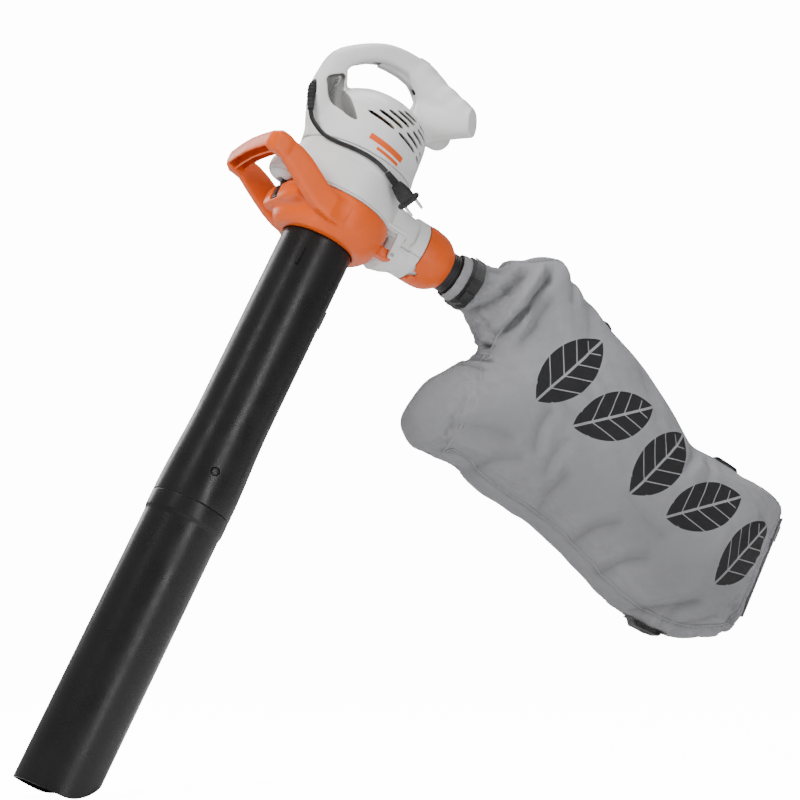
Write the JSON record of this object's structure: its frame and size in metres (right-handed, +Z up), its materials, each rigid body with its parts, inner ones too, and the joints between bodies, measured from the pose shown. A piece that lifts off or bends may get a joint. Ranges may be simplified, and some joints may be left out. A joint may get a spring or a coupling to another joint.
{
  "type": "leaf vacuum mulcher",
  "caption": "Hand-held electric leaf vacuum mulcher with a split suction tube, an impeller and motor housing with a loop handle, a bail handle and a zipped collecting bag on a side outlet.",
  "frame": {"origin": "flat part of the suction mouth's rim, on the rear side of the tube", "axes": "+X horizontally from the suction mouth towards the bag, +Y across the machine, away from the side with the power plug, +Z up in the carrying position; the fan axis leans 26.6 degrees from +Z towards +X"},
  "size_m": [1.2989, 0.2234, 1.1201],
  "materials": {
    "housing_white": "fine satin grain, warm light grey",
    "safety_orange": "semi-gloss moulded orange",
    "tube_black": "glossy extruded black",
    "black_plastic": "satin black",
    "black_rubber": "matt soft rubber",
    "bright_steel": "bright, fine brushed",
    "lamination_steel": "dull stacked laminations",
    "winding_copper": null,
    "brush_carbon": null,
    "brass": "bright",
    "bag_fabric": "mid grey woven polyester",
    "webbing_black": "black woven webbing"
  },
  "bodies": {
    "machine": {"hinge_pin": "bright_steel", "fan_housing_upper": "housing_white", "fan_housing_lower": "housing_white", "motor_housing_near": "housing_white", "motor_housing_far": "housing_white", "housing_screw_1": "bright_steel", "housing_screw_2": "bright_steel", "housing_screw_3": "bright_steel", "field_stack": "lamination_steel", "field_coil_near": "winding_copper", "field_coil_far": "winding_copper", "bearing_lower": "bright_steel", "bearing_upper": "bright_steel", "bearing_bridge": "black_plastic", "carbon_brush_left": "brush_carbon", "carbon_brush_right": "brush_carbon", "brush_holder_left": "brass", "brush_holder_right": "brass", "brush_spring_left": "bright_steel", "brush_spring_right": "bright_steel", "switch_block": "black_plastic", "trigger_pin": "bright_steel", "cable_boot": "black_rubber", "power_cable": "black_rubber", "plug_body": "black_rubber", "plug_pin_a": "bright_steel", "plug_pin_b": "bright_steel", "cord_hook": "housing_white"},
    "rotor": {"motor_shaft": "bright_steel", "impeller": "black_plastic", "shredder_blade": "bright_steel", "blade_nut": "bright_steel", "shredder_spacer": "bright_steel", "cooling_fan": "black_plastic", "armature_core": "lamination_steel", "winding_head_lower": "winding_copper", "winding_head_upper": "winding_copper", "commutator": "winding_copper"},
    "trigger": {"trigger": "housing_white"},
    "lock_button": {"lock_button": "housing_white"},
    "suction_set": {"intake_ring_with_bail": "safety_orange", "upper_suction_tube": "tube_black"},
    "latch": {"tube_latch": "black_plastic"},
    "lower_tube": {"lower_suction_tube": "tube_black"},
    "snap": {"snap_button": "tube_black"},
    "adapter": {"bag_adapter": "black_plastic", "outlet_seal": "black_rubber"},
    "coupling": {"outlet_coupling": "safety_orange"},
    "bag": {"collecting_bag": "bag_fabric", "neck_strap": "webbing_black", "strap_buckle": "black_plastic", "zip_tape": "black_plastic", "carry_loop_front": "webbing_black", "carry_loop_rear": "webbing_black", "bag_end_tab": "webbing_black"},
    "slider": {"zip_slider": "bright_steel"},
    "pull": {"zip_pull": "black_plastic"}
  },
  "joints": [
    {"name": "fan_spin", "type": "hinge", "parent": "machine", "child": "rotor", "pos_m": [0.52111, 0, 0.91334], "axis": [0.4478, 0, 0.8942], "continuous": true},
    {"name": "trigger_pull", "type": "hinge", "parent": "machine", "child": "trigger", "pos_m": [0.61108, 0, 1.03045], "axis": [0, 1, 0], "range_deg": [0, 7]},
    {"name": "lock_button_press", "type": "slide", "parent": "machine", "child": "lock_button", "axis": [-0.4478, 0, -0.8942], "range_m": [0, 0.003]},
    {"name": "tube_set_hinge", "type": "hinge", "parent": "machine", "child": "suction_set", "pos_m": [0.55053, -0.03, 0.75769], "axis": [0, -1, 0], "range_deg": [0, 25]},
    {"name": "latch_slide", "type": "slide", "parent": "suction_set", "child": "latch", "axis": [-0.8942, 0, 0.4478], "range_m": [0, 0.004]},
    {"name": "lower_tube_slide", "type": "slide", "parent": "suction_set", "child": "lower_tube", "axis": [-0.4478, 0, -0.8942], "range_m": [0, 0.06]},
    {"name": "snap_press", "type": "slide", "parent": "lower_tube", "child": "snap", "axis": [0.109, 0.9925, -0.0546], "range_m": [0, 0.002]},
    {"name": "adapter_pull", "type": "slide", "parent": "machine", "child": "adapter", "axis": [0.8942, 0, -0.4478], "range_m": [0, 0.05]},
    {"name": "coupling_turn", "type": "hinge", "parent": "adapter", "child": "coupling", "pos_m": [0.65921, 0.04, 0.76478], "axis": [0.8942, 0, -0.4478], "range_deg": [0, 60]},
    {"name": "bag_turn", "type": "hinge", "parent": "adapter", "child": "bag", "pos_m": [0.71286, 0.04, 0.73791], "axis": [0.8942, 0, -0.4478], "range_deg": [-20, 20]},
    {"name": "zip_run", "type": "slide", "parent": "bag", "child": "slider", "axis": [-0.4478, 0, -0.8942], "range_m": [0, 0.155]},
    {"name": "zip_pull_flip", "type": "hinge", "parent": "slider", "child": "pull", "pos_m": [1.29589, 0.04, 0.36431], "axis": [0, -1, 0], "range_deg": [0, 90]}
  ]
}
